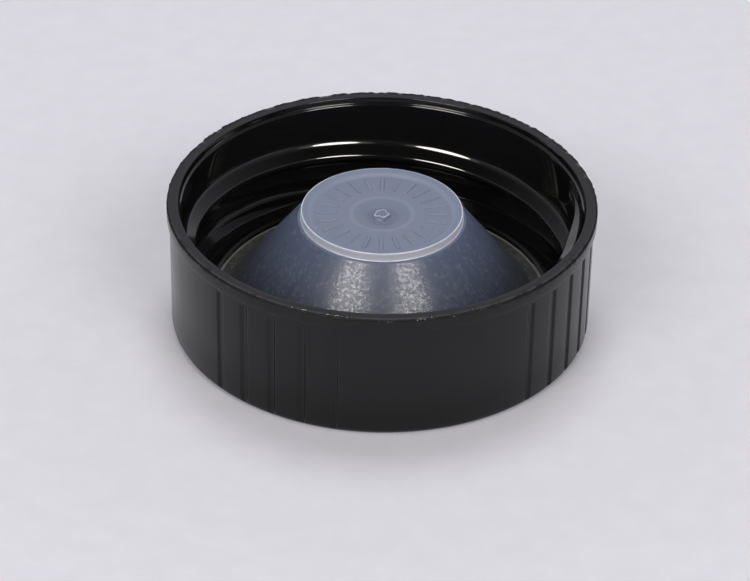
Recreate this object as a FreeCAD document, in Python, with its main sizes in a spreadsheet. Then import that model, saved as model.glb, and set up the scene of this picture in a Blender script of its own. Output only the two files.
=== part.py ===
import FreeCAD, Part
import math
import os
import Sketcher

# A continuous-thread screw cap, lying open end up, with a turning cone liner in it.
# Frame: millimetres, +Z up through the open mouth, origin in the middle of the closed
# outer face. Angles are degrees about +Z, counted from +X.

SIZES = {
    # outside of the shell
    "rim_radius": 17.45,
    "wall_radius": 17.23,
    "cap_height": 10.99,
    "rim_band_height": 1.13,
    "base_round": 0.54,
    "edge_round": 0.1,
    # gripping flutes in the outer wall
    "flute_round": 0.58,
    "flute_depth": 0.16,
    "flute_top": 9.69,
    "flute_step_angle": 8.8,
    "flutes_in_group": 5,
    "flute_groups": 4,
    "flute_group_centre": 60.9,
    # inside of the shell
    "panel_thickness": 1.1,
    "well_radius": 14.11,
    "snap_reach": 0.32,
    "snap_foot": 1.66,
    "snap_rise": 0.15,
    "ledge_inner_height": 2.11,
    "ledge_outer_height": 2.15,
    "bore_radius": 16.26,
    "bore_top": 10.4,
    "step_radius": 16.41,
    "step_height": 10.54,
    "mouth_radius": 16.51,
    # screw thread on the bore
    "thread_pitch": 4.233,
    "thread_depth": 1.21,
    "crest_round": 0.43,
    "flank_angle": 30.0,
    "thread_backing": 0.58,
    "thread_tip_angle": 378.0,
    "thread_tip_height": 9.18,
    "thread_sweep": 662.0,
    "tip_fade": 30.0,
    "root_fade": 60.0,
    # cone liner
    "liner_gap": 0.05,
    "flange_radius": 13.95,
    "flange_thickness": 0.43,
    "cone_foot_radius": 12.76,
    "cone_head_radius": 6.83,
    "cone_head_height": 9.28,
    "shoulder_rise": 0.11,
    "hollow_foot_radius": 11.55,
    "hollow_head_radius": 6.09,
    "disc_radius": 6.59,
    "disc_top": 9.98,
    "disc_floor": 9.64,
    "disc_underside": 8.62,
    "bead_width": 0.72,
    "bead_slope": 0.13,
    "dimple_radius": 2.55,
    "dimple_slope": 1.51,
    "dimple_depth": 0.3,
    "gate_radius": 0.61,
    "gate_taper": 0.15,
    "gate_height": 0.37,
    "disc_edge_round": 0.13,
    "cone_root_round": 0.54,
    # ring of raised index bars on the liner's disc
    "bar_inner_radius": 3.61,
    "bar_length": 1.83,
    "bar_half_width": 0.14,
    "bar_relief": 0.11,
    "bar_count": 24,
}

doc = FreeCAD.newDocument("screw_cap")


def make_sheet():
    """Spreadsheet of the driving dimensions, one aliased cell each."""
    sheet = doc.addObject("Spreadsheet::Sheet", "Sizes")
    for row, (alias, number) in enumerate(SIZES.items(), start=1):
        sheet.set(f"A{row}", alias)
        sheet.set(f"B{row}", str(number))
        sheet.setAlias(f"B{row}", alias)
    doc.recompute()
    return sheet


sheet = make_sheet()


def number_of(formula):
    """Value of a formula: sheet aliases or numbers joined by + and -, with spaces between."""
    total = 0.0
    sign = 1.0
    for word in formula.split():
        if word in ("+", "-"):
            sign = 1.0 if word == "+" else -1.0
        elif word[0].isdigit():
            total += sign * float(word)
        else:
            total += sign * sheet.get(word)
    return total


def expression_of(formula):
    """The same formula as an expression on the sheet."""
    words = [f"Sizes.{word}" if word[0].isalpha() else word for word in formula.split()]
    return " ".join(words)


def origin_part(body, role):
    """The plane or axis of a body's own origin that has this role."""
    for feature in body.Origin.OriginFeatures:
        if feature.Role == role:
            return feature
    raise ValueError(role)


def new_body(name):
    body = doc.addObject("PartDesign::Body", name)
    body.Label = name
    return body


def new_sketch(body, name, role, offset=None):
    """Empty sketch on one of the body's origin planes."""
    sketch = body.newObject("Sketcher::SketchObject", name)
    sketch.AttachmentSupport = [(origin_part(body, role), "")]
    sketch.MapMode = "FlatFace"
    if offset is not None:
        sketch.AttachmentOffset = offset
    return sketch


def bind_corner(sketch, line, formulas):
    """Hold the start of a line at its two coordinates, both driven by the sheet."""
    for kind, axis, formula in (("DistanceX", -2, formulas[0]), ("DistanceY", -1, formulas[1])):
        number = number_of(formula)
        if abs(number) < 1e-9:
            sketch.addConstraint(Sketcher.Constraint("PointOnObject", line, 1, axis))
            continue
        ends = (-1, 1, line, 1) if number > 0 else (line, 1, -1, 1)
        row = sketch.addConstraint(Sketcher.Constraint(kind, *ends, abs(number)))
        expression = expression_of(formula)
        if number < 0:
            expression = f"-({expression})"
        sketch.setExpression(f"Constraints[{row}]", expression)


def draw_outline(sketch, corners):
    """Closed outline of straight lines through corners given as pairs of formulas."""
    points = [FreeCAD.Vector(number_of(x), number_of(y), 0) for x, y in corners]
    count = len(points)
    for index in range(count):
        sketch.addGeometry(Part.LineSegment(points[index], points[(index + 1) % count]), False)
    for index in range(count):
        follower = (index + 1) % count
        sketch.addConstraint(Sketcher.Constraint("Coincident", index, 2, follower, 1))
    for index, formulas in enumerate(corners):
        bind_corner(sketch, index, formulas)


def revolve(body, name, corners):
    """Solid of revolution about the body's Z axis, its seam on the -X side, away from the thread's tip."""
    sketch = new_sketch(body, f"{name}_section", "XZ_Plane")
    draw_outline(sketch, corners)
    solid = body.newObject("PartDesign::Revolution", name)
    solid.Profile = sketch
    solid.ReferenceAxis = (origin_part(body, "Z_Axis"), [""])
    solid.Angle = 360.0
    solid.Midplane = True
    doc.recompute()
    return solid


def ring_edges(shape, rings):
    """Names of the circular edges about Z that have these radii and heights."""
    names = []
    for index, edge in enumerate(shape.Edges, start=1):
        if not isinstance(edge.Curve, Part.Circle):
            continue
        for radius, height in rings:
            same_radius = abs(edge.Curve.Radius - radius) < 1e-4
            if same_radius and abs(edge.Curve.Center.z - height) < 1e-4:
                names.append(f"Edge{index}")
    return names


def round_rings(body, base, name, rings, radius_alias):
    """Fillet of circular edges, each given by its radius and height formulas."""
    places = [(number_of(radius), number_of(height)) for radius, height in rings]
    fillet = body.newObject("PartDesign::Fillet", name)
    fillet.Base = (base, ring_edges(base.Shape, places))
    fillet.setExpression("Radius", f"Sizes.{radius_alias}")
    doc.recompute()
    return fillet


# ---------------------------------------------------------------- shell

SHELL_SECTION = [
    ("0", "0"),
    ("wall_radius", "0"),
    ("wall_radius", "cap_height - rim_band_height"),
    ("rim_radius", "cap_height - rim_band_height"),
    ("rim_radius", "cap_height"),
    ("mouth_radius", "cap_height"),
    ("step_radius", "step_height"),
    ("bore_radius", "bore_top"),
    ("bore_radius", "ledge_outer_height"),
    ("well_radius", "ledge_inner_height"),
    ("well_radius - snap_reach", "snap_foot + snap_rise + snap_rise"),
    ("well_radius - snap_reach", "snap_foot + snap_rise"),
    ("well_radius", "snap_foot"),
    ("well_radius", "panel_thickness"),
    ("0", "panel_thickness"),
]


def cut_first_flute(body):
    """Cutter of one round-ended flute, turned about its own upright axis."""
    turn = sheet.get("flute_group_centre")
    turn -= sheet.get("flute_step_angle") * (sheet.get("flutes_in_group") - 1) / 2
    aside = FreeCAD.Placement(FreeCAD.Vector(), FreeCAD.Rotation(FreeCAD.Vector(0, 1, 0), turn))
    sketch = new_sketch(body, "flute_section", "XZ_Plane", aside)
    axis_x = "wall_radius - flute_depth + flute_round"
    inner_x = "wall_radius - flute_depth"
    shoulder = "flute_top - flute_round"
    points = [
        FreeCAD.Vector(number_of(axis_x), -number_of("base_round"), 0),
        FreeCAD.Vector(number_of(inner_x), -number_of("base_round"), 0),
        FreeCAD.Vector(number_of(inner_x), number_of(shoulder), 0),
        FreeCAD.Vector(number_of(axis_x), number_of("flute_top"), 0),
    ]
    centre = FreeCAD.Vector(points[0].x, points[2].y, 0)
    circle = Part.Circle(centre, FreeCAD.Vector(0, 0, 1), sheet.get("flute_round"))
    sketch.addGeometry(Part.LineSegment(points[0], points[1]), False)
    sketch.addGeometry(Part.LineSegment(points[1], points[2]), False)
    sketch.addGeometry(Part.ArcOfCircle(circle, math.pi / 2, math.pi), False)
    sketch.addGeometry(Part.LineSegment(points[3], points[0]), False)
    sketch.addConstraint(Sketcher.Constraint("Coincident", 0, 2, 1, 1))
    sketch.addConstraint(Sketcher.Constraint("Tangent", 1, 2, 2, 2))
    sketch.addConstraint(Sketcher.Constraint("Coincident", 2, 1, 3, 1))
    sketch.addConstraint(Sketcher.Constraint("Coincident", 3, 2, 0, 1))
    sketch.addConstraint(Sketcher.Constraint("Vertical", 3))
    sketch.addConstraint(Sketcher.Constraint("PointOnObject", 2, 3, 3))
    bind_corner(sketch, 0, (axis_x, "0 - base_round"))
    bind_corner(sketch, 1, (inner_x, "0 - base_round"))
    height = sketch.addConstraint(Sketcher.Constraint("DistanceY", -1, 1, 3, 1, points[3].y))
    sketch.setExpression(f"Constraints[{height}]", "Sizes.flute_top")
    flute = body.newObject("PartDesign::Groove", "first_flute")
    flute.Profile = sketch
    flute.ReferenceAxis = (sketch, ["Edge4"])
    flute.Angle = 360.0
    doc.recompute()
    return flute


def repeat_about_axis(body, name, angle, occurrences):
    """One polar pattern step about Z, with its spacing and count driven by expressions."""
    pattern = body.newObject("PartDesign::PolarPattern", name)
    pattern.Axis = (origin_part(body, "Z_Axis"), [""])
    pattern.setExpression("Angle", angle)
    pattern.setExpression("Occurrences", occurrences)
    return pattern


def make_shell_body():
    """Shell without its thread: turned section, rounded edges and gripping flutes."""
    body = new_body("shell_body")
    turned = revolve(body, "turned_shell", SHELL_SECTION)
    base = round_rings(body, turned, "base_edge", [("wall_radius", "0")], "base_round")
    mouth_rings = [
        ("rim_radius", "cap_height"),
        ("rim_radius", "cap_height - rim_band_height"),
        ("bore_radius", "bore_top"),
    ]
    mouth = round_rings(body, base, "mouth_edges", mouth_rings, "edge_round")
    smooth_volume = mouth.Shape.Volume
    flute = cut_first_flute(body)
    one_flute = smooth_volume - flute.Shape.Volume
    flutes = body.newObject("PartDesign::MultiTransform", "flutes")
    flutes.Originals = [flute]
    spread = "Sizes.flute_step_angle * (Sizes.flutes_in_group - 1)"
    group = repeat_about_axis(body, "flute_group", spread, "Sizes.flutes_in_group")
    groups = repeat_about_axis(body, "flute_groups", "360", "Sizes.flute_groups")
    flutes.Transformations = [group, groups]
    body.Tip = flutes
    doc.recompute()
    flute_count = sheet.get("flutes_in_group") * sheet.get("flute_groups")
    removed = smooth_volume - body.Shape.Volume
    print("one flute", round(one_flute, 3), "mm3, all flutes", round(removed, 3), "mm3")
    if abs(removed - flute_count * one_flute) > 0.02 * removed:
        raise ValueError("the flutes did not all cut")
    return body


def thread_section(angle, height, sink):
    """Ridge section in the radial plane at an angle, sunk into the wall by a distance."""
    flank = math.radians(sheet.get("flank_angle"))
    crest_round = sheet.get("crest_round")
    crest = number_of("bore_radius - thread_depth") + sink
    back = number_of("bore_radius + thread_backing")
    bend_radius = crest + crest_round * (1 - math.sin(flank))
    bend_rise = crest_round * math.cos(flank)
    back_rise = bend_rise + (back - bend_radius) * math.tan(flank)
    turn = math.radians(angle)

    def place(radius, rise):
        return FreeCAD.Vector(radius * math.cos(turn), radius * math.sin(turn), height + rise)

    lower_back = place(back, -back_rise)
    lower_bend = place(bend_radius, -bend_rise)
    upper_bend = place(bend_radius, bend_rise)
    upper_back = place(back, back_rise)
    edges = [
        Part.LineSegment(lower_back, lower_bend).toShape(),
        Part.Arc(lower_bend, place(crest, 0), upper_bend).toShape(),
        Part.LineSegment(upper_bend, upper_back).toShape(),
        Part.LineSegment(upper_back, lower_back).toShape(),
    ]
    return Part.Wire(edges)


def fade(distance, length):
    """0 well inside the thread, rising smoothly to 1 at its end."""
    if distance >= length:
        return 0.0
    share = 1 - distance / length
    return share * share * (3 - 2 * share)


def make_thread():
    """Right-hand ridge that sinks into the bore at both ends."""
    sweep = sheet.get("thread_sweep")
    sections_in_turn = 36
    count = round(sweep / 360 * sections_in_turn)
    full_sink = sheet.get("thread_depth") + sheet.get("edge_round")
    wires = []
    for index in range(count + 1):
        travel = sweep * index / count
        angle = sheet.get("thread_tip_angle") - travel
        height = sheet.get("thread_tip_height") - sheet.get("thread_pitch") * travel / 360
        at_tip = fade(travel, sheet.get("tip_fade"))
        at_root = fade(sweep - travel, sheet.get("root_fade"))
        wires.append(thread_section(angle, height, full_sink * max(at_tip, at_root)))
    ridge = doc.addObject("Part::Feature", "thread_ridge")
    ridge.Shape = Part.makeLoft(wires, True, False)
    if not ridge.Shape.isValid():
        raise ValueError("the thread ridge is not a valid solid")
    return ridge


def make_cap_shell():
    shell = doc.addObject("Part::Fuse", "cap_shell")
    shell.Base = make_shell_body()
    shell.Tool = make_thread()
    shell.Label = "cap_shell"
    shell.Placement = FreeCAD.Placement()
    doc.recompute()
    gained = shell.Shape.Volume - shell.Base.Shape.Volume
    if gained < 0.3 * shell.Tool.Shape.Volume:
        raise ValueError("the thread ridge did not join the bore")
    return shell


# ---------------------------------------------------------------- cone liner

FLANGE_FOOT = "panel_thickness + liner_gap"
FLANGE_TOP = "panel_thickness + liner_gap + flange_thickness"
DIMPLE_FLOOR = "disc_floor - dimple_depth"

LINER_SECTION = [
    ("0", "disc_floor - dimple_depth + gate_height"),
    ("gate_radius - gate_taper", "disc_floor - dimple_depth + gate_height"),
    ("gate_radius", DIMPLE_FLOOR),
    ("dimple_radius - dimple_slope", DIMPLE_FLOOR),
    ("dimple_radius", "disc_floor"),
    ("disc_radius - bead_width - bead_slope", "disc_floor"),
    ("disc_radius - bead_width", "disc_top"),
    ("disc_radius", "disc_top"),
    ("disc_radius", "cone_head_height + shoulder_rise"),
    ("cone_head_radius", "cone_head_height"),
    ("cone_foot_radius", FLANGE_TOP),
    ("flange_radius", FLANGE_TOP),
    ("flange_radius", FLANGE_FOOT),
    ("hollow_foot_radius", FLANGE_FOOT),
    ("hollow_head_radius", "disc_underside"),
    ("0", "disc_underside"),
]


def add_index_bars(body):
    """Ring of short radial bars standing on the floor of the disc."""
    sketch = new_sketch(body, "bar_outline", "XY_Plane")
    sketch.setExpression("AttachmentOffset.Base.z", "Sizes.disc_floor")
    outline = [
        ("bar_inner_radius", "0 - bar_half_width"),
        ("bar_inner_radius + bar_length", "0 - bar_half_width"),
        ("bar_inner_radius + bar_length", "bar_half_width"),
        ("bar_inner_radius", "bar_half_width"),
    ]
    draw_outline(sketch, outline)
    bar = body.newObject("PartDesign::Pad", "first_bar")
    bar.Profile = sketch
    bar.setExpression("Length", "Sizes.bar_relief")
    doc.recompute()
    ring = repeat_about_axis(body, "bar_ring", "360", "Sizes.bar_count")
    ring.Originals = [bar]
    body.Tip = ring
    doc.recompute()
    return ring


def make_cone_liner():
    """Thin hollow cone with a flange below and a dished disc on top."""
    body = new_body("cone_liner")
    turned = revolve(body, "turned_liner", LINER_SECTION)
    disc_rings = [("disc_radius", "disc_top"), ("disc_radius - bead_width", "disc_top")]
    disc = round_rings(body, turned, "disc_edges", disc_rings, "disc_edge_round")
    root_rings = [("cone_foot_radius", FLANGE_TOP), ("hollow_head_radius", "disc_underside")]
    round_rings(body, disc, "cone_roots", root_rings, "cone_root_round")
    add_index_bars(body)
    body.Placement = FreeCAD.Placement()
    doc.recompute()
    return body


# ---------------------------------------------------------------- check and write

def check_document():
    """Stop if any object of the document failed."""
    for item in doc.Objects:
        if "Invalid" in item.State or "Error" in item.State:
            raise ValueError(f"{item.Name} failed: {item.State}")


def write_part(item):
    """Write one sub-part as a STEP file named after its label."""
    shape = item.Shape
    if shape.isNull() or not shape.isValid() or len(shape.Solids) != 1:
        raise ValueError(f"{item.Label} is not one valid solid")
    box = shape.optimalBoundingBox()
    size = [round(length, 3) for length in (box.XLength, box.YLength, box.ZLength)]
    print(item.Label, "volume", round(shape.Volume, 2), "mm3, size", size)
    shape.exportStep(f"parts/{item.Label}.step")


parts = [make_cap_shell(), make_cone_liner()]
check_document()
os.makedirs("parts", exist_ok=True)
for part in parts:
    write_part(part)
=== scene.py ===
import math

import bmesh
import bpy
from mathutils import Matrix, Vector, noise


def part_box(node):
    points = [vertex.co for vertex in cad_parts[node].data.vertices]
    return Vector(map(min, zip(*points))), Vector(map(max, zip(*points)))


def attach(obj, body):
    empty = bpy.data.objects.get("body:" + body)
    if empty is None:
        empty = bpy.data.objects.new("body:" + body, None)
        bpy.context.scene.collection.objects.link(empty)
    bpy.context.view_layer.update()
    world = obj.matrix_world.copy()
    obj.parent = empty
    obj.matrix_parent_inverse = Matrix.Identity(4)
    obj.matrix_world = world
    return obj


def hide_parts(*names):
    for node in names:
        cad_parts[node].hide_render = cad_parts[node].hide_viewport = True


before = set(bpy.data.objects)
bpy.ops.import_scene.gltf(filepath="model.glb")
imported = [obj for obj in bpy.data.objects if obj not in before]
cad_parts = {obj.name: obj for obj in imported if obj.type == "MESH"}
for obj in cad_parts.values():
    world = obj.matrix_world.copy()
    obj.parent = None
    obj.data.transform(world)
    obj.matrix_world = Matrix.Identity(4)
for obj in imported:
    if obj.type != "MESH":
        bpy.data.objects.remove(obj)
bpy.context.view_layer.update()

# A black screw cap lying open end up, with a translucent cone liner in it.
# Sizes below are millimetres in the frame's axes; MM turns them into metres.
# Angles are degrees about +Z, counted from +X.
MM = 0.001

SHELL_LOW, SHELL_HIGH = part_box("cap_shell")
LINER_LOW, LINER_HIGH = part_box("cone_liner")
RIM_RADIUS = SHELL_HIGH.x / MM
CAP_HEIGHT = SHELL_HIGH.z / MM
WALL_RADIUS = RIM_RADIUS - 0.22
BORE_RADIUS = 16.26
BORE_TOP = 10.4
STEP_RADIUS = 16.41
STEP_HEIGHT = 10.54
MOUTH_RADIUS = 16.51
RIM_BAND_FOOT = CAP_HEIGHT - 1.18
LEDGE_HEIGHT = 2.15
LEDGE_FALL = 0.04
WELL_RADIUS = 14.11
BEAD_RADIUS = WELL_RADIUS - 0.32
BEAD_FOOT = 1.66
BEAD_LOW = 1.81
BEAD_HIGH = 1.96
PANEL_TOP = 1.1

FLUTE_GROUPS = 4
FLUTES_IN_GROUP = 5
FLUTE_GROUP_CENTRE = 60.9
FLUTE_STEP = 8.8
FLUTE_CENTRES = [
    FLUTE_GROUP_CENTRE + 90 * group + FLUTE_STEP * (step - 2)
    for group in range(FLUTE_GROUPS)
    for step in range(FLUTES_IN_GROUP)
]
FLUTE_HALF_WIDTH = 0.4
FLUTE_DEPTH = 0.16
FLUTE_TOP = 9.69

THREAD_PITCH = 4.233
THREAD_DEPTH = 1.21
THREAD_HALF_FLAT = 0.215
THREAD_FLANK = 30.0
THREAD_ROOT_FILLET = 0.86
THREAD_CREST_ROUND = 0.32
THREAD_TIP_ANGLE = 378.0
THREAD_TIP_HEIGHT = 9.18
THREAD_SWEEP = 662.0
TIP_FADE = 30.0
ROOT_FADE = 60.0

FLANGE_FOOT = LINER_LOW.z / MM
FLANGE_TOP = FLANGE_FOOT + 0.43
FLANGE_RADIUS = LINER_HIGH.x / MM
CONE_FOOT_RADIUS = 12.76
CONE_HEAD_RADIUS = 6.83
CONE_HEAD_HEIGHT = 9.28
HOLLOW_FOOT_RADIUS = 11.55
HOLLOW_HEAD_RADIUS = 6.09
DISC_UNDERSIDE = 8.62
DISC_TOP = LINER_HIGH.z / MM
DISC_RADIUS = 6.59
DISC_FLOOR = 9.64
DIMPLE_FLOOR = DISC_FLOOR - 0.3
DIMPLE_RADIUS = 2.55
BAR_COUNT = 24
BAR_INNER = 3.61
BAR_LENGTH = 1.83
BAR_HALF_WIDTH = 0.14
BAR_RELIEF = 0.11


# ---------------------------------------------------------------- mesh helpers

def smooth_step(share):
    share = min(max(share, 0.0), 1.0)
    return share * share * (3 - 2 * share)


def rounded_path(corners, spacing, bend=14):
    """Points (r, z, finish) along straight runs joined by arcs of so many degrees a step.

    corners are (r, z, round, finish, spacing factor): the finish is that of the run after it.
    """
    points = []
    last = len(corners) - 1
    for index, (r, z, radius, finish, fine) in enumerate(corners):
        here = Vector((r, z))
        if index in (0, last) or radius == 0:
            arc = [here]
        else:
            before = Vector(corners[index - 1][:2]) - here
            after = Vector(corners[index + 1][:2]) - here
            half = before.angle(after) / 2
            reach = radius / math.tan(half)
            start = here + before.normalized() * reach
            end = here + after.normalized() * reach
            middle = (before.normalized() + after.normalized()).normalized()
            centre = here + middle * (radius / math.sin(half))
            turn = math.pi - 2 * half
            steps = max(3, math.ceil(turn / math.radians(bend)))
            from_centre = start - centre
            side = 1 if from_centre.cross(end - centre) > 0 else -1
            arc = []
            for step in range(steps + 1):
                angle = side * turn * step / steps
                arc.append(centre + Matrix.Rotation(angle, 2) @ from_centre)
        if points:
            previous = Vector(points[-1][:2])
            run = arc[0] - previous
            pieces = max(1, math.ceil(run.length / (spacing * corners[index - 1][4])))
            for piece in range(1, pieces):
                spot = previous + run * piece / pieces
                points.append((spot.x, spot.y, corners[index - 1][3]))
        for spot in arc:
            points.append((spot.x, spot.y, finish))
    return points


def filled_angles(fine_spots, widest):
    """Sorted angles in degrees: the given ones, with gaps over the widest filled evenly."""
    spots = sorted(angle % 360 for angle in fine_spots)
    angles = []
    for index, angle in enumerate(spots):
        follower = spots[(index + 1) % len(spots)] + (360 if index == len(spots) - 1 else 0)
        pieces = max(1, math.ceil((follower - angle) / widest - 1e-6))
        angles += [angle + (follower - angle) * piece / pieces for piece in range(pieces)]
    return angles


def new_mesh_object(name, vertices, faces, materials, finishes=None):
    """Mesh object from millimetre points, smooth shaded, with outward normals."""
    mesh = bpy.data.meshes.new(name)
    mesh.from_pydata([tuple(c * MM for c in v) for v in vertices], [], faces)
    for material in materials:
        mesh.materials.append(material)
    if finishes is not None:
        mesh.polygons.foreach_set("material_index", finishes)
    work = bmesh.new()
    work.from_mesh(mesh)
    bmesh.ops.recalc_face_normals(work, faces=work.faces)
    if work.calc_volume(signed=True) < 0:
        bmesh.ops.reverse_faces(work, faces=work.faces)
    work.to_mesh(mesh)
    work.free()
    mesh.polygons.foreach_set("use_smooth", [True] * len(mesh.polygons))
    mesh.update()
    piece = bpy.data.objects.new(name, mesh)
    bpy.context.scene.collection.objects.link(piece)
    return piece


def lathe(name, path, angles, shape, materials):
    """Turned solid whose rows follow a path from pole to pole; shape may move each point.

    path holds (r, z, finish); shape(r, z, angle) returns the moved (r, z).
    """
    inner = path[1:-1]
    vertices = [(0, 0, path[0][1])]
    for r, z, _ in inner:
        for angle in angles:
            moved_r, moved_z = shape(r, z, angle)
            turn = math.radians(angle)
            vertices.append((moved_r * math.cos(turn), moved_r * math.sin(turn), moved_z))
    vertices.append((0, 0, path[-1][1]))
    count = len(angles)
    faces = []
    finishes = []
    for row in range(len(inner) - 1):
        for column in range(count):
            right = (column + 1) % count
            first = 1 + row * count
            above = first + count
            faces.append((first + column, first + right, above + right, above + column))
            finishes.append(inner[row][2])
    last_ring = 1 + (len(inner) - 1) * count
    for column in range(count):
        right = (column + 1) % count
        faces.append((0, 1 + right, 1 + column))
        finishes.append(path[0][2])
        faces.append((len(vertices) - 1, last_ring + column, last_ring + right))
        finishes.append(inner[-1][2])
    return new_mesh_object(name, vertices, faces, materials, finishes)


# ---------------------------------------------------------------- materials

class Nodes:
    """Small helper to write a node material as a few readable lines."""

    def __init__(self, name):
        self.material = bpy.data.materials.new(name)
        self.material.use_nodes = True
        self.tree = self.material.node_tree
        self.shader = self.tree.nodes["Principled BSDF"]
        self.place = self.add("ShaderNodeTexCoord").outputs["Object"]

    def add(self, kind, **settings):
        node = self.tree.nodes.new(kind)
        for key, value in settings.items():
            setattr(node, key, value)
        return node

    def link(self, source, target):
        self.tree.links.new(source, target)

    def noise(self, scale, detail=3.0, rough=0.55, stretch=None, place=None):
        """Noise factor over the object's own coordinates; scale is features per metre."""
        node = self.add("ShaderNodeTexNoise")
        node.inputs["Scale"].default_value = scale
        node.inputs["Detail"].default_value = detail
        node.inputs["Roughness"].default_value = rough
        place = place or self.place
        if stretch is not None:
            mapping = self.add("ShaderNodeMapping")
            mapping.inputs["Scale"].default_value = stretch
            self.link(place, mapping.inputs["Vector"])
            place = mapping.outputs["Vector"]
        self.link(place, node.inputs["Vector"])
        return node.outputs["Fac"]

    def ramp(self, factor, stops):
        """Colour ramp: stops are (position, colour or grey level)."""
        node = self.add("ShaderNodeValToRGB")
        while len(node.color_ramp.elements) < len(stops):
            node.color_ramp.elements.new(0.5)
        for element, (position, colour) in zip(node.color_ramp.elements, stops):
            element.position = position
            level = colour if isinstance(colour, tuple) else (colour, colour, colour)
            element.color = (*level, 1)
        self.link(factor, node.inputs["Fac"])
        return node.outputs["Color"]

    def blend(self, factor, first, second):
        """Mix of two colours, each a colour tuple or a socket."""
        node = self.add("ShaderNodeMix", data_type="RGBA")
        for value, socket in ((factor, 0), (first, 6), (second, 7)):
            if isinstance(value, (int, float)):
                node.inputs[socket].default_value = value
            elif isinstance(value, tuple):
                node.inputs[socket].default_value = (*value, 1)
            else:
                self.link(value, node.inputs[socket])
        return node.outputs[2]

    def math(self, operation, first, second):
        node = self.add("ShaderNodeMath", operation=operation)
        for value, socket in ((first, 0), (second, 1)):
            if isinstance(value, (int, float)):
                node.inputs[socket].default_value = value
            else:
                self.link(value, node.inputs[socket])
        return node.outputs[0]

    def bump(self, height, strength, distance, target="Normal"):
        node = self.add("ShaderNodeBump")
        node.inputs["Strength"].default_value = strength
        node.inputs["Distance"].default_value = distance
        self.link(height, node.inputs["Height"])
        self.link(node.outputs["Normal"], self.shader.inputs[target])

    def set(self, **values):
        for key, value in values.items():
            socket = self.shader.inputs[key.replace("_", " ")]
            if isinstance(value, tuple):
                socket.default_value = (*value, 1)
            elif isinstance(value, (int, float)):
                socket.default_value = value
            else:
                self.link(value, socket)


def satin_phenolic():
    """Outside of the shell: tumbled satin black with faint upright drag marks."""
    nodes = Nodes("phenolic_satin")
    cloud = nodes.noise(260, 4)
    drag = nodes.noise(900, 3, 0.6, stretch=(1, 1, 0.1))
    grain = nodes.noise(9000, 2)
    colour = nodes.ramp(cloud, [(0.3, (0.0012, 0.0011, 0.0013)), (0.75, (0.0026, 0.0025, 0.0029))])
    nodes.set(Base_Color=colour)
    mix = nodes.math("ADD", nodes.math("MULTIPLY", cloud, 0.5), nodes.math("MULTIPLY", drag, 0.5))
    nodes.set(Roughness=nodes.ramp(mix, [(0.3, 0.16), (0.7, 0.27)]))
    height = nodes.math("ADD", nodes.math("MULTIPLY", drag, 0.6), nodes.math("MULTIPLY", grain, 0.4))
    nodes.bump(height, 0.1, 0.00004)
    nodes.set(IOR=1.38)
    return nodes.material


def rim_phenolic():
    """Top of the rim: fine matt sanded band."""
    nodes = Nodes("phenolic_rim")
    cloud = nodes.noise(700, 4)
    grain = nodes.noise(14000, 2)
    colour = nodes.ramp(cloud, [(0.3, (0.0125, 0.0120, 0.0145)), (0.7, (0.0185, 0.0178, 0.0210))])
    nodes.set(Base_Color=colour)
    nodes.set(Roughness=nodes.ramp(grain, [(0.3, 0.28), (0.7, 0.4)]))
    nodes.bump(grain, 0.15, 0.00002)
    nodes.set(IOR=1.44)
    return nodes.material


def torn_phenolic():
    """Broken flash on the rim's outer edge: rough and dark, with a few tiny painted glints as pale
    specks on its front-most stretch.
    """
    nodes = Nodes("phenolic_torn")
    grain = nodes.noise(6500, 3, 0.7)
    patch = nodes.noise(520, 3)
    axes = nodes.add("ShaderNodeSeparateXYZ")
    nodes.link(nodes.place, axes.inputs[0])
    # Painted glints: pale specks of colour on the flash, kept to the front-most stretch of the edge.
    front = nodes.ramp(nodes.math("MULTIPLY", axes.outputs["Y"], -50), [(0.72, 0.0), (0.80, 1.0)])
    bright_grain = nodes.ramp(grain, [(0.57, 0.0), (0.62, 1.0)])
    bright_patch = nodes.ramp(patch, [(0.56, 0.0), (0.62, 1.0)])
    glint_specks = nodes.math("MULTIPLY", bright_grain, bright_patch)
    pale = nodes.math("MULTIPLY", front, glint_specks)
    nodes.set(Base_Color=nodes.blend(pale, (0.0022, 0.0021, 0.0022), (0.42, 0.41, 0.42)))
    nodes.set(Roughness=nodes.ramp(grain, [(0.3, 0.5), (0.7, 0.8)]))
    nodes.bump(grain, 0.6, 0.00005)
    nodes.set(Specular_IOR_Level=0.12)
    return nodes.material


def polished_phenolic():
    """Inside of the shell: mirror-like black with faint flow waviness."""
    nodes = Nodes("phenolic_polished")
    flow = nodes.noise(180, 2)
    fine = nodes.noise(2500, 3)
    colour = nodes.ramp(flow, [(0.3, (0.0060, 0.0058, 0.0053)), (0.7, (0.0072, 0.0069, 0.0064))])
    nodes.set(Base_Color=colour)
    nodes.set(Roughness=nodes.ramp(fine, [(0.35, 0.05), (0.7, 0.08)]))
    height = nodes.math("ADD", nodes.math("MULTIPLY", flow, 0.8), nodes.math("MULTIPLY", fine, 0.03))
    nodes.bump(height, 0.1, 0.00008)
    nodes.set(IOR=1.44)
    return nodes.material


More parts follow.
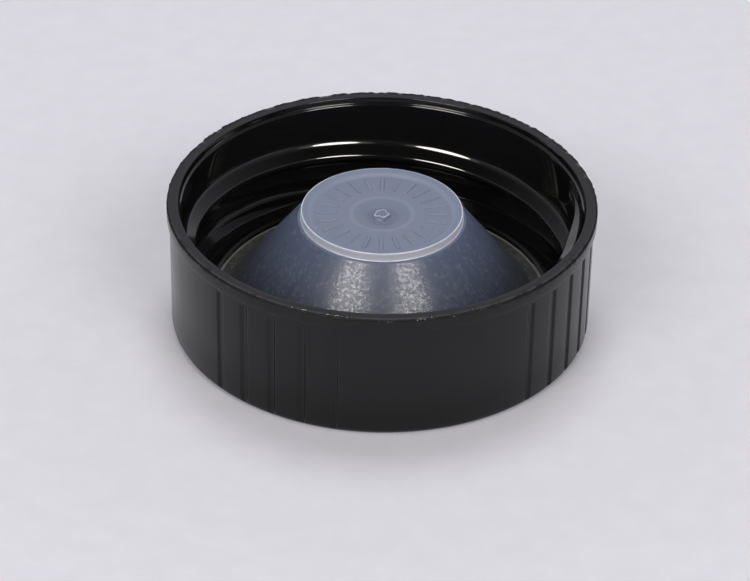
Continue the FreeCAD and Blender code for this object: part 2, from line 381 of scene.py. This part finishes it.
def liner_milky():
    """Natural polyethylene: pale disc, and a thin dark cone with wear running down its slope; painted
    shade darkens the cone towards its foot and the dimple, painted highlights make lighter rings at
    the dimple's lip and the raised outer rim, and painted light lines the flange's edge.
    """
    nodes = Nodes("liner_milky")
    axes = nodes.add("ShaderNodeSeparateXYZ")
    nodes.link(nodes.place, axes.inputs[0])
    flat = nodes.add("ShaderNodeCombineXYZ")
    nodes.link(axes.outputs["X"], flat.inputs["X"])
    nodes.link(axes.outputs["Y"], flat.inputs["Y"])
    length = nodes.add("ShaderNodeVectorMath", operation="LENGTH")
    nodes.link(flat.outputs[0], length.inputs[0])
    radius = length.outputs["Value"]
    outward = nodes.add("ShaderNodeVectorMath", operation="NORMALIZE")
    nodes.link(flat.outputs[0], outward.inputs[0])
    unit = nodes.add("ShaderNodeSeparateXYZ")
    nodes.link(outward.outputs[0], unit.inputs[0])
    down_slope = nodes.add("ShaderNodeCombineXYZ")
    nodes.link(nodes.math("MULTIPLY", unit.outputs["X"], 0.009), down_slope.inputs["X"])
    nodes.link(nodes.math("MULTIPLY", unit.outputs["Y"], 0.009), down_slope.inputs["Y"])
    nodes.link(nodes.math("MULTIPLY", axes.outputs["Z"], 0.12), down_slope.inputs["Z"])

    streak = nodes.noise(1500, 5, 0.7, place=down_slope.outputs[0])
    scuff = nodes.noise(2100, 6, 0.72)
    speck = nodes.noise(6500, 3, 0.6)
    cloud = nodes.noise(330, 3)
    high = nodes.ramp(nodes.math("DIVIDE", axes.outputs["Z"], 0.01), [(0.921, 0.0), (0.937, 1.0)])
    # The cone's own dark blue tone, painted darker and browner towards its foot as shade deep in the
    # cap's well.
    cone_tone_with_painted_shade = nodes.ramp(nodes.math("DIVIDE", axes.outputs["Z"], 0.01), [
        (0.15, (0.062, 0.061, 0.054)),
        (0.21, (0.060, 0.062, 0.064)),
        (0.48, (0.070, 0.081, 0.118)),
        (0.90, (0.112, 0.135, 0.212)),
    ])
    worn = nodes.blend(nodes.ramp(streak, [(0.45, 0.0), (0.75, 0.14)]), cone_tone_with_painted_shade, (0.24, 0.26, 0.33))
    spotted = nodes.blend(nodes.ramp(scuff, [(0.52, 0.0), (0.70, 0.22)]), worn, (0.50, 0.51, 0.55))
    # Painted light coming out at the flange's outer edge: a thin pale yellowish line.
    flange_edge_light_mask = nodes.ramp(nodes.math("DIVIDE", radius, 0.02), [(0.682, 0.0), (0.688, 1.0)])
    cone_with_painted_edge_light = nodes.blend(flange_edge_light_mask, spotted, (0.400, 0.390, 0.320))
    # Disc top tone across the radius, with painted shade darkening the dimple and painted highlights
    # as lighter rings at the dimple's lip and on the slope up to the raised outer rim.
    across = nodes.ramp(nodes.math("DIVIDE", radius, 0.01), [
        (0.09, (0.225, 0.250, 0.345)),
        (0.22, (0.238, 0.266, 0.360)),
        (0.253, (0.300, 0.330, 0.420)),
        (0.28, (0.255, 0.284, 0.380)),
        (0.56, (0.255, 0.284, 0.380)),
        (0.590, (0.315, 0.345, 0.440)),
        (0.61, (0.245, 0.290, 0.400)),
    ])
    hazy = nodes.blend(nodes.ramp(cloud, [(0.35, 0.0), (0.75, 0.18)]), across, (0.27, 0.27, 0.33))
    nodes.set(Base_Color=nodes.blend(high, cone_with_painted_edge_light, hazy))
    rough_slope = nodes.ramp(scuff, [(0.35, 0.38), (0.7, 0.56)])
    nodes.set(Roughness=nodes.blend(high, rough_slope, (0.46, 0.46, 0.46)))
    nodes.set(Specular_IOR_Level=0.14)
    crackle = nodes.noise(3600, 5, 0.7)
    shine = nodes.ramp(crackle, [(0.41, 0.04), (0.50, 0.14), (0.60, 0.36)])
    nodes.set(Coat_Weight=nodes.blend(high, shine, (0.06, 0.06, 0.06)))
    nodes.set(Coat_Roughness=0.10)
    nodes.set(Coat_IOR=1.4)
    relief = nodes.math("ADD", nodes.math("MULTIPLY", scuff, 0.6), nodes.math("MULTIPLY", speck, 0.4))
    calm = nodes.ramp(high, [(0.0, 1.0), (1.0, 0.2)])
    nodes.bump(nodes.math("MULTIPLY", relief, calm), 0.6, 0.00005, "Coat Normal")
    nodes.set(IOR=1.45)
    return nodes.material


def liner_edge():
    """Edges of the polyethylene disc, where the light inside comes out."""
    nodes = Nodes("liner_edge")
    cloud = nodes.noise(600, 4)
    fine = nodes.noise(4000, 3)
    nodes.set(Base_Color=nodes.ramp(cloud, [(0.3, (0.80, 0.82, 0.88)), (0.7, (0.87, 0.885, 0.93))]))
    nodes.set(Roughness=nodes.ramp(fine, [(0.3, 0.32), (0.7, 0.45)]))
    nodes.bump(fine, 0.2, 0.00003)
    nodes.set(IOR=1.51)
    return nodes.material


# ---------------------------------------------------------------- shell

SATIN, RIM, POLISHED, TORN = 0, 1, 2, 3

SHELL_CORNERS = [
    (0, 0, 0, SATIN, 4),
    (WALL_RADIUS, 0, 0.54, SATIN, 2.5),
    (WALL_RADIUS, FLUTE_TOP - FLUTE_HALF_WIDTH, 0, SATIN, 0.12),
    (WALL_RADIUS, RIM_BAND_FOOT, 0.1, SATIN, 0.2),
    (RIM_RADIUS, CAP_HEIGHT - 1.06, 0.1, SATIN, 0.6),
    (RIM_RADIUS, CAP_HEIGHT - 0.15, 0, TORN, 0.12),
    (RIM_RADIUS - 0.03, CAP_HEIGHT - 0.01, 0, TORN, 0.12),
    (RIM_RADIUS - 0.10, CAP_HEIGHT - 0.01, 0, RIM, 0.12),
    (RIM_RADIUS - 0.15, CAP_HEIGHT, 0, RIM, 0.6),
    (MOUTH_RADIUS, CAP_HEIGHT, 0.03, POLISHED, 0.3),
    (STEP_RADIUS, STEP_HEIGHT, 0.07, POLISHED, 0.3),
    (BORE_RADIUS, BORE_TOP, 0.08, POLISHED, 2.5),
    (BORE_RADIUS, LEDGE_HEIGHT, 0.06, POLISHED, 1),
    (WELL_RADIUS, LEDGE_HEIGHT - LEDGE_FALL, 0, POLISHED, 0.3),
    (BEAD_RADIUS, BEAD_HIGH, 0.02, POLISHED, 0.3),
    (BEAD_RADIUS, BEAD_LOW, 0.02, POLISHED, 0.3),
    (WELL_RADIUS, BEAD_FOOT, 0.03, POLISHED, 0.5),
    (WELL_RADIUS, PANEL_TOP, 0.1, POLISHED, 4),
    (0, PANEL_TOP, 0, POLISHED, 4),
]


def flute_cut(angle, z):
    """How deep the nearest flute cuts below the wall at this place."""
    nearest = min(((angle - centre + 180) % 360 - 180 for centre in FLUTE_CENTRES), key=abs)
    across = math.radians(nearest) * WALL_RADIUS
    along = max(0.0, z - (FLUTE_TOP - FLUTE_HALF_WIDTH))
    share = math.hypot(across, along) / FLUTE_HALF_WIDTH
    return FLUTE_DEPTH * smooth_step(1.45 * (1 - share))


def ring_noise(angle, features, seed):
    """Noise that runs once round the axis without a seam, with so many features a turn."""
    turn = math.radians(angle)
    reach = features / math.tau
    return noise.noise(Vector((math.cos(turn) * reach, math.sin(turn) * reach, seed)))


def torn_edge(angle):
    """How far the moulding flash on the rim's outer edge is broken away, in millimetres."""
    teeth = 0.09 * ring_noise(angle, 250, 0.3) + 0.04 * ring_noise(angle, 360, 4.3)
    return 0.03 - teeth


def shell_shape(r, z, angle):
    """Flutes in the wall and the ragged flash line on the rim's outer edge."""
    if r > WALL_RADIUS - 0.6 and z < CAP_HEIGHT - 1.17:
        cut = flute_cut(angle, z)
        r -= max(0.0, cut - (WALL_RADIUS - r))
    if r > RIM_RADIUS - 0.12 and z > CAP_HEIGHT - 0.2:
        share = smooth_step((z - (CAP_HEIGHT - 0.16)) / 0.1)
        torn = torn_edge(angle)
        r -= share * torn
        z += share * (0.03 - 0.4 * torn)
    return r, z


def make_shell(materials):
    flute_spots = [centre + offset * 0.2 for centre in FLUTE_CENTRES for offset in range(-8, 9)]
    angles = filled_angles(flute_spots, 0.53)
    path = rounded_path(SHELL_CORNERS, 0.6, 18)
    shell = lathe("shell", path, angles, shell_shape, materials)
    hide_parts("cap_shell")
    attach(shell, "cap")


def fade(distance, length):
    return 1 - smooth_step(distance / length)


def ridge_section(depth):
    """Points (radius, rise) across the ridge where it stands this far off the bore."""
    share = depth / THREAD_DEPTH
    half_root = THREAD_HALF_FLAT + depth * math.tan(math.radians(THREAD_FLANK))
    wall = BORE_RADIUS - 0.003
    root = THREAD_ROOT_FILLET * share
    crest = THREAD_CREST_ROUND * share
    corners = [
        (wall, -half_root - 0.8, 0, POLISHED, 1),
        (wall, -half_root, root, POLISHED, 1),
        (BORE_RADIUS - depth, -THREAD_HALF_FLAT, crest, POLISHED, 1),
        (BORE_RADIUS - depth, THREAD_HALF_FLAT, crest, POLISHED, 1),
        (wall, half_root, root, POLISHED, 1),
        (wall, half_root + 0.8, 0, POLISHED, 1),
    ]
    return rounded_path(corners, 9, 6)


def make_thread(materials):
    """The thread's ridge, with a rounded crest and a fillet into the bore, fading at both ends."""
    rows = int(THREAD_SWEEP)
    vertices = []
    for row in range(rows + 1):
        travel = THREAD_SWEEP * row / rows
        angle = math.radians(THREAD_TIP_ANGLE - travel)
        middle = THREAD_TIP_HEIGHT - THREAD_PITCH * travel / 360
        faded = max(fade(travel, TIP_FADE), fade(THREAD_SWEEP - travel, ROOT_FADE))
        section = ridge_section(max(THREAD_DEPTH * (1 - faded), 0.02))
        for r, rise, _ in section:
            vertices.append((r * math.cos(angle), r * math.sin(angle), middle + rise))
    across = len(section)
    faces = []
    for row in range(rows):
        for step in range(across - 1):
            first = row * across + step
            faces.append((first, first + 1, first + across + 1, first + across))
    ridge = new_mesh_object("thread_ridge", vertices, faces, materials)
    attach(ridge, "cap")


# ---------------------------------------------------------------- liner

MILKY, EDGE = 0, 1

LINER_CORNERS = [
    (0, DIMPLE_FLOOR + 0.28, 0, MILKY, 0.3),
    (0.47, DIMPLE_FLOOR + 0.26, 0.04, MILKY, 0.2),
    (0.52, DIMPLE_FLOOR + 0.33, 0.02, EDGE, 0.2),
    (0.58, DIMPLE_FLOOR + 0.30, 0.03, MILKY, 0.2),
    (0.67, DIMPLE_FLOOR, 0.08, MILKY, 0.5),
    (1.3, DIMPLE_FLOOR, 0.3, MILKY, 0.8),
    (DIMPLE_RADIUS, DISC_FLOOR, 0.5, MILKY, 0.8),
    (5.72, DISC_FLOOR, 0.12, MILKY, 0.3),
    (5.98, DISC_FLOOR + 0.22, 0.2, MILKY, 0.3),
    (6.36, DISC_TOP, 0.12, MILKY, 0.3),
    (6.5, DISC_TOP, 0, EDGE, 0.2),
    (DISC_RADIUS, DISC_TOP - 0.01, 0.05, EDGE, 0.3),
    (DISC_RADIUS, CONE_HEAD_HEIGHT + 0.02, 0, EDGE, 0.3),
    (6.64, CONE_HEAD_HEIGHT, 0.03, MILKY, 0.3),
    (CONE_HEAD_RADIUS, CONE_HEAD_HEIGHT, 0.1, MILKY, 0.8),
    (CONE_FOOT_RADIUS, FLANGE_TOP, 0.6, MILKY, 0.4),
    (FLANGE_RADIUS, FLANGE_TOP, 0.08, MILKY, 0.4),
    (FLANGE_RADIUS, FLANGE_FOOT, 0.05, MILKY, 0.8),
    (HOLLOW_FOOT_RADIUS, FLANGE_FOOT, 0.1, MILKY, 1),
    (HOLLOW_HEAD_RADIUS, DISC_UNDERSIDE, 0.54, MILKY, 1.5),
    (0, DISC_UNDERSIDE, 0, MILKY, 1),
]


def liner_shape(r, z, angle):
    """The torn gate mark, and the disc's slight unevenness."""
    turn = math.radians(angle)
    spot = Vector((math.cos(turn) * r, math.sin(turn) * r, z))
    if 0 < r < 0.76 and z > DIMPLE_FLOOR + 0.03:
        facet = 0.10 * math.cos(5 * turn + 0.6) + 0.07 * math.cos(3 * turn + 2.0)
        facet += 0.1 * ring_noise(angle, 9, 2.3)
        r *= 1 + facet
        z += 0.07 * ring_noise(angle, 7, 6.3)
    if 5.6 < r < 6.7 and z > DISC_FLOOR - 0.1:
        z += 0.012 * noise.noise(spot * 1.2)
    return r, z


def make_liner(materials):
    angles = [index * 0.9 for index in range(400)]
    path = rounded_path(LINER_CORNERS, 0.3)
    liner = lathe("liner", path, angles, liner_shape, materials)
    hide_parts("cone_liner")
    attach(liner, "liner")


def make_index_bars(material):
    """Ring of low raised bars with rounded ends and crowned tops, moulded on the disc."""
    steps = 10
    outline = []
    for end, start in ((1, -90), (0, 90)):
        for step in range(steps + 1):
            turn = math.radians(start + 180 * step / steps)
            along = BAR_INNER + BAR_HALF_WIDTH + end * (BAR_LENGTH - 2 * BAR_HALF_WIDTH)
            outline.append((along, math.cos(turn), math.sin(turn)))
    levels = [
        (1.25, -0.03),
        (1.1, 0.02),
        (1.0, 0.6 * BAR_RELIEF),
        (0.75, 0.95 * BAR_RELIEF),
        (0.35, BAR_RELIEF),
    ]
    vertices = []
    faces = []
    count = len(outline)
    for bar in range(BAR_COUNT):
        angle = math.tau * bar / BAR_COUNT
        first = len(vertices)
        for reach, lift in levels:
            for along, ahead, aside in outline:
                x = along + BAR_HALF_WIDTH * reach * ahead
                y = BAR_HALF_WIDTH * reach * aside
                turned_x = x * math.cos(angle) - y * math.sin(angle)
                turned_y = x * math.sin(angle) + y * math.cos(angle)
                vertices.append((turned_x, turned_y, DISC_FLOOR + lift))
        for level in range(len(levels) - 1):
            for step in range(count):
                a = first + level * count + step
                b = first + level * count + (step + 1) % count
                faces.append((a, b, b + count, a + count))
        faces.append([first + (len(levels) - 1) * count + step for step in range(count)])
        faces.append([first + step for step in reversed(range(count))])
    bars = new_mesh_object("index_bars", vertices, faces, [material])
    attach(bars, "liner")


# ---------------------------------------------------------------- stage, lights and camera

def make_floor():
    size = 1.2
    bpy.ops.mesh.primitive_plane_add(size=size, location=(0, 0, 0))
    floor = bpy.context.object
    floor.name = "floor"
    nodes = Nodes("floor_paper")
    grain = nodes.noise(400, 3)
    nodes.set(Base_Color=nodes.ramp(grain, [(0.3, (0.87, 0.855, 0.905)), (0.7, (0.90, 0.885, 0.935))]))
    nodes.set(Roughness=0.8)
    floor.data.materials.append(nodes.material)


def make_world():
    """A white surround that darkens towards the ceiling and towards the front."""
    world = bpy.data.worlds.new("studio")
    world.use_nodes = True
    tree = world.node_tree
    background = tree.nodes["Background"]
    place = tree.nodes.new("ShaderNodeTexCoord")
    axes = tree.nodes.new("ShaderNodeSeparateXYZ")
    tree.links.new(place.outputs["Generated"], axes.inputs[0])
    by_height = [(0.15, 0.90), (0.36, 0.60), (0.62, 0.33), (0.80, 0.15), (0.92, 0.02)]
    by_depth = [(0.05, 0.25), (0.30, 1.0)]
    ramps = []
    for source, stops in (("Z", by_height), ("Y", by_depth)):
        ramp = tree.nodes.new("ShaderNodeValToRGB")
        while len(ramp.color_ramp.elements) < len(stops):
            ramp.color_ramp.elements.new(0.5)
        for element, (position, level) in zip(ramp.color_ramp.elements, stops):
            element.position = position
            element.color = (0.95 * level, 0.95 * level, level, 1)
        ramps.append(ramp)
    tree.links.new(axes.outputs["Z"], ramps[0].inputs["Fac"])
    depth = tree.nodes.new("ShaderNodeMath")
    depth.operation = "MULTIPLY_ADD"
    depth.inputs[1].default_value = 0.5
    depth.inputs[2].default_value = 0.5
    tree.links.new(axes.outputs["Y"], depth.inputs[0])
    tree.links.new(depth.outputs[0], ramps[1].inputs["Fac"])
    product = tree.nodes.new("ShaderNodeMix")
    product.data_type = "RGBA"
    product.blend_type = "MULTIPLY"
    product.inputs[0].default_value = 1.0
    tree.links.new(ramps[0].outputs["Color"], product.inputs[6])
    tree.links.new(ramps[1].outputs["Color"], product.inputs[7])
    tree.links.new(product.outputs[2], background.inputs["Color"])
    bpy.context.scene.world = world


def aim(thing, place, target):
    thing.location = place
    thing.rotation_euler = (Vector(target) - Vector(place)).to_track_quat("-Z", "Y").to_euler()


def make_lamp(
    name, azimuth, elevation, distance, width, power, colour=(1, 1, 1), diffuse=True, glossy=True
):
    """Round soft lamp facing the cap; distance and width are in metres."""
    data = bpy.data.lights.new(name, "AREA")
    data.shape = "DISK"
    data.size = width
    data.energy = power
    data.color = colour
    lamp = bpy.data.objects.new(name, data)
    lamp.visible_diffuse = diffuse
    lamp.visible_glossy = glossy
    bpy.context.scene.collection.objects.link(lamp)
    a = math.radians(azimuth)
    e = math.radians(elevation)
    place = Vector((math.cos(a) * math.cos(e), math.sin(a) * math.cos(e), math.sin(e))) * distance
    aim(lamp, place, (0, 0, 0.005))


def make_camera():
    """Camera in front of the cap, 34 degrees above the table, 249 mm away."""
    elevation = math.radians(34.03)
    distance = 0.24907
    back = Vector((0, -math.cos(elevation), math.sin(elevation)))
    right = Vector((1, 0, 0))
    up = right.cross(-back)
    ahead = (-back - 0.00178 * right + 0.00711 * up).normalized()
    level = ahead.cross(Vector((0, 0, 1))).normalized()
    upright = level.cross(ahead)
    roll = 0.0196
    side = math.cos(roll) * level + math.sin(roll) * upright
    top = math.cos(roll) * upright - math.sin(roll) * level
    data = bpy.data.cameras.new("camera")
    data.sensor_width = 36
    data.lens = 144
    data.clip_start = 0.01
    camera = bpy.data.objects.new("camera", data)
    bpy.context.scene.collection.objects.link(camera)
    turn = Matrix((side, top, -ahead)).transposed().to_4x4()
    camera.matrix_world = Matrix.Translation(back * distance) @ turn
    bpy.context.scene.camera = camera


shell_materials = [satin_phenolic(), rim_phenolic(), polished_phenolic(), torn_phenolic()]
make_shell(shell_materials)
make_thread([shell_materials[POLISHED]])
liner_materials = [liner_milky(), liner_edge()]
make_liner(liner_materials)
make_index_bars(liner_materials[MILKY])
make_floor()
make_world()
make_lamp("top", 90, 70, 0.7, 0.35, 1.45, glossy=False)
for side, azimuth, width, power in (("left", 235.5, 0.34, 10.0), ("right", 304, 0.29, 7.5)):
    make_lamp("glint_" + side, azimuth, 38.5, 0.7, width, power, (1.0, 0.95, 0.88), diffuse=False)
    make_lamp("key_" + side, azimuth, 38.5, 0.74, 0.42, 1.35, glossy=False)
    make_lamp("glow_" + side, azimuth, 38.5, 0.8, 0.56, 0.8, (1.0, 0.97, 0.93), diffuse=False)
make_camera()
bpy.context.scene.view_settings.view_transform = "Standard"
